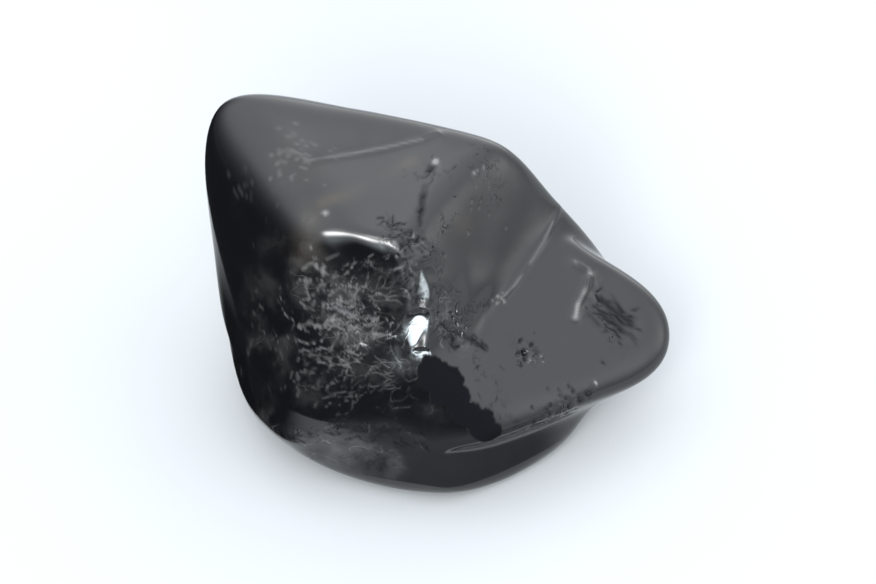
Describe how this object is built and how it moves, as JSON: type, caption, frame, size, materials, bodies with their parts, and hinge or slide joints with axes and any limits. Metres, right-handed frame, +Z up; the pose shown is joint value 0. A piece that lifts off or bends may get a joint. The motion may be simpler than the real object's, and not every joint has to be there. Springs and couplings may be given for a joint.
{
  "type": "tumbled black tourmaline",
  "caption": "Loose polished black tourmaline: a steep rounded block with a flat top, fractured front face and low blunt nose, resting on a worn flat.",
  "frame": {"origin": "centre of the footprint's bounding box, on the resting face", "axes": "+X towards the blunt nose, +Z up from the resting face, -Y out of the fractured front face"},
  "size_m": [0.0248, 0.0158, 0.0166],
  "materials": {
    "tourmaline": "opaque black mineral with a tumbled high polish, rougher in its fractures and pits"
  },
  "bodies": {
    "root": {"tourmaline_stone": "tourmaline"}
  },
  "joints": []
}
